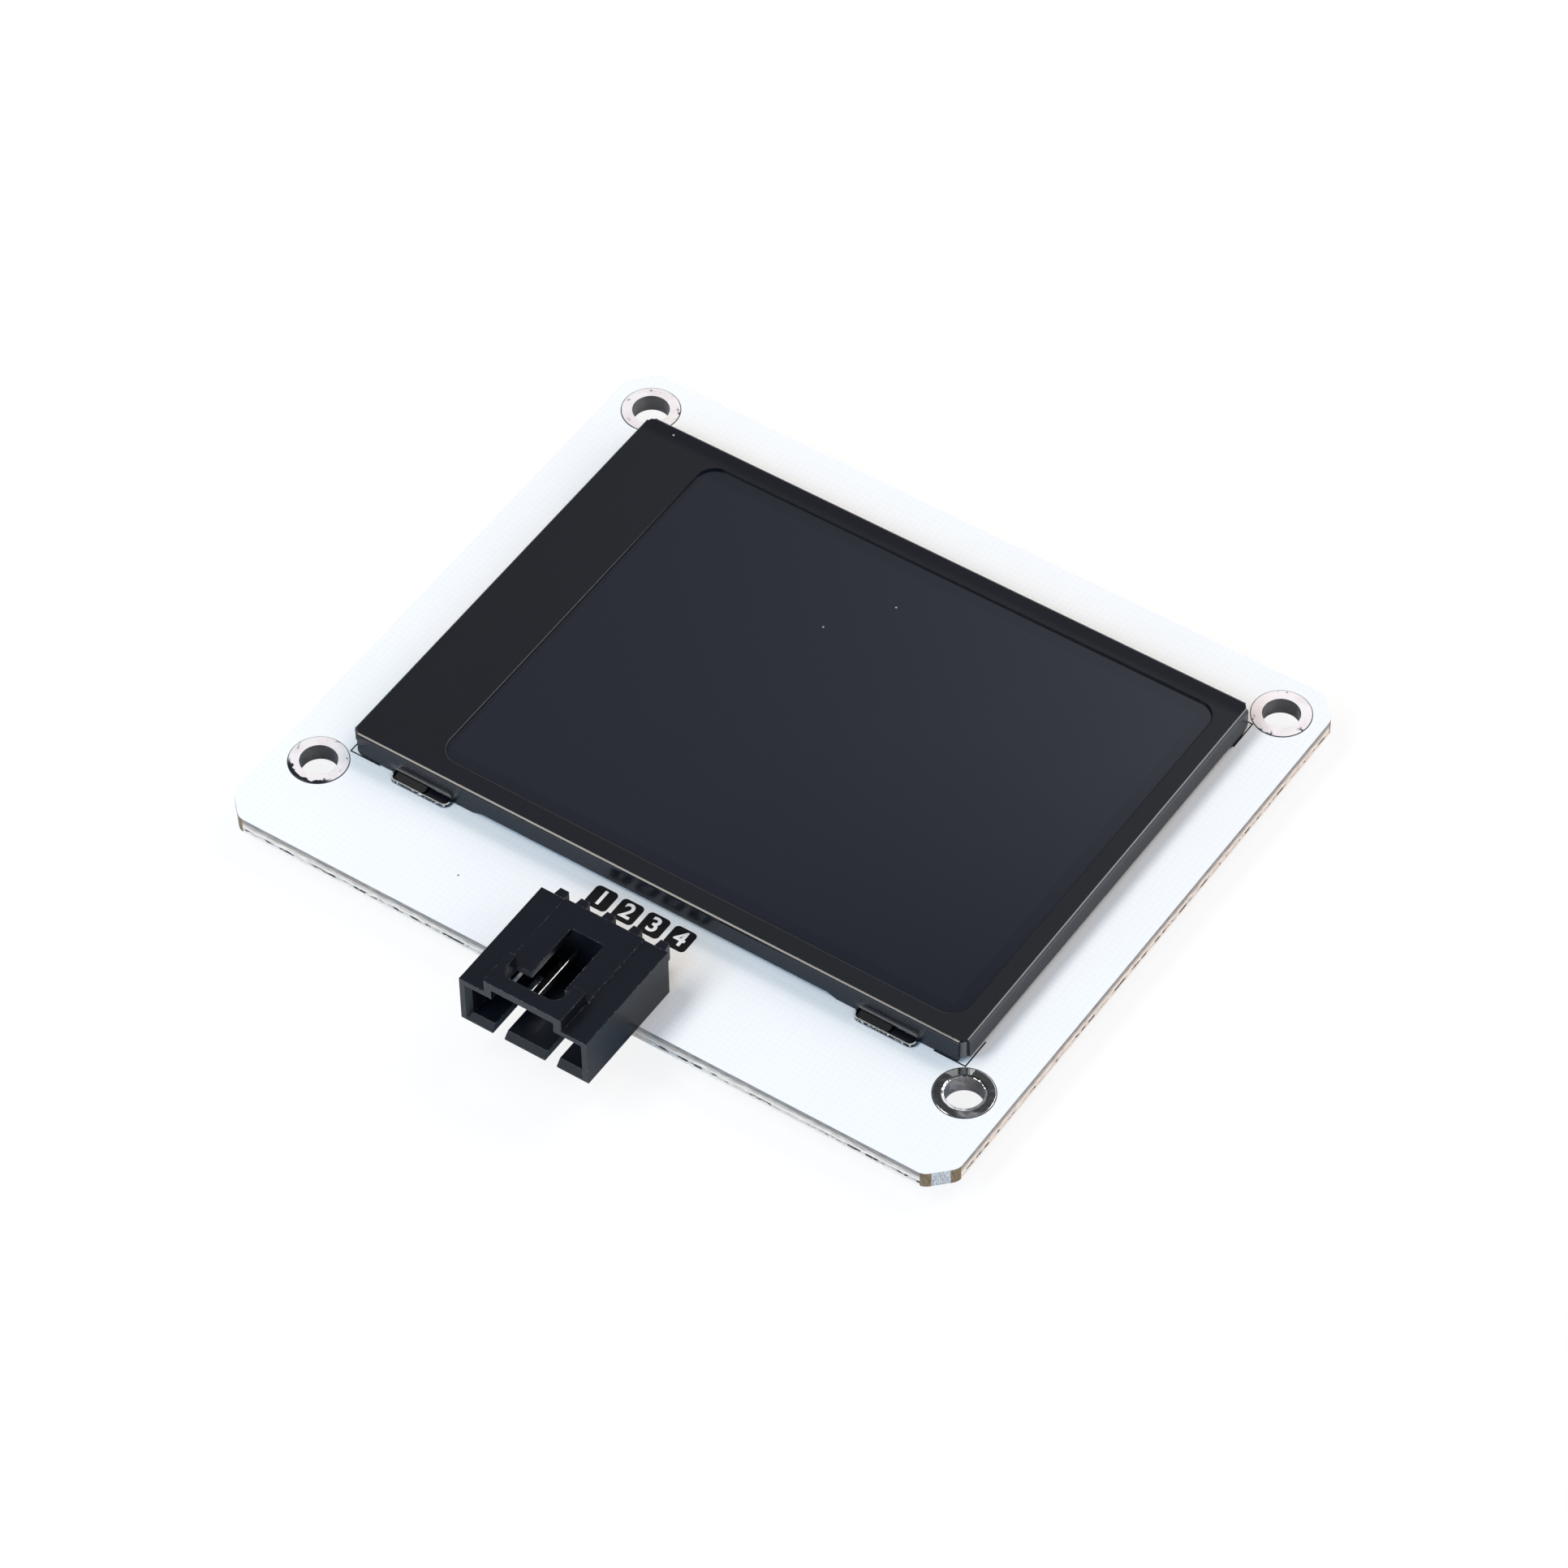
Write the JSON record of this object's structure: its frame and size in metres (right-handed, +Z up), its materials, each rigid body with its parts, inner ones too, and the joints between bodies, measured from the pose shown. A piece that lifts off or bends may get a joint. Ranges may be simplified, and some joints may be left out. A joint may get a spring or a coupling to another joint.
{
  "type": "colour tft display module",
  "caption": "White circuit board carrying a landscape colour screen in a black steel frame, with a latching right-angle header on its front edge and plated corner mounting holes.",
  "frame": {"origin": "centre of the pattern of mounting holes, on the board's underside", "axes": "+X along the edge that carries the header, +Y away from the header across the board, +Z up out of the screen"},
  "size_m": [0.07, 0.0666, 0.0093],
  "materials": {
    "white_board": "satin white solder mask on glass-fibre laminate",
    "bright_tin": "bright tin plating",
    "solder": "smooth solder",
    "black_steel": "satin black coating on thin steel sheet",
    "dark_moulding": "glossy dark moulded plastic",
    "clear_acrylic": "clear moulded plate",
    "clear_film": "frosted optical film",
    "silver_film": "bright reflecting film",
    "black_tape": "thin black adhesive tape",
    "dark_polariser": "smooth dark polarising film",
    "display_glass": "polished thin glass",
    "white_tape": "double-sided tape",
    "amber_flex": "amber film with etched tracks",
    "lamp_body": "white moulded lamp body",
    "bare_silicon": "polished bare chip",
    "black_housing": "black moulded plastic",
    "package_black": "black moulding compound",
    "capacitor_ceramic": "tan fired ceramic with tinned ends",
    "resistor_ceramic": "black glazed film on white ceramic with tinned ends",
    "crystal_can": "plated metal lid on a ceramic base",
    "black_ink": "thin printed black ink on the board",
    "white_ink": "white mask left bare inside the printed labels"
  },
  "bodies": {
    "root": {"circuit_board": "white_board", "plated_hole_front_left": "bright_tin", "plated_hole_front_right": "bright_tin", "plated_hole_back_left": "bright_tin", "plated_hole_back_right": "bright_tin", "header_pin_1": "bright_tin", "header_pin_2": "bright_tin", "header_pin_3": "bright_tin", "header_pin_4": "bright_tin", "pin_solder_1": "solder", "pin_solder_2": "solder", "pin_solder_3": "solder", "pin_solder_4": "solder", "bezel_frame": "black_steel", "backlight_moulding": "dark_moulding", "light_guide": "clear_acrylic", "diffuser_film": "clear_film", "lower_prism_film": "clear_film", "upper_prism_film": "clear_film", "reflector_film": "silver_film", "rim_tape": "black_tape", "rear_polariser": "dark_polariser", "front_polariser": "dark_polariser", "array_glass": "display_glass", "filter_glass": "display_glass", "mounting_tape_front": "white_tape", "mounting_tape_back": "white_tape", "lamp_strip": "amber_flex", "display_flex": "amber_flex", "backlight_lamp_1": "lamp_body", "backlight_lamp_2": "lamp_body", "backlight_lamp_3": "lamp_body", "backlight_lamp_4": "lamp_body", "display_driver_chip": "bare_silicon", "header_housing": "black_housing", "microcontroller_package": "package_black", "regulator_package": "package_black", "transistor_package": "package_black", "microcontroller_leads": "bright_tin", "regulator_leads": "bright_tin", "transistor_leads": "bright_tin", "capacitor_input": "capacitor_ceramic", "capacitor_output": "capacitor_ceramic", "capacitor_supply_left": "capacitor_ceramic", "capacitor_supply_right": "capacitor_ceramic", "capacitor_crystal_left": "capacitor_ceramic", "capacitor_crystal_right": "capacitor_ceramic", "resistor_clock_pull_up": "resistor_ceramic", "resistor_data_pull_up": "resistor_ceramic", "resistor_lamp_current": "resistor_ceramic", "resistor_gate": "resistor_ceramic", "resistor_reset_pull_up": "resistor_ceramic", "clock_crystal": "crystal_can"}
  },
  "joints": []
}
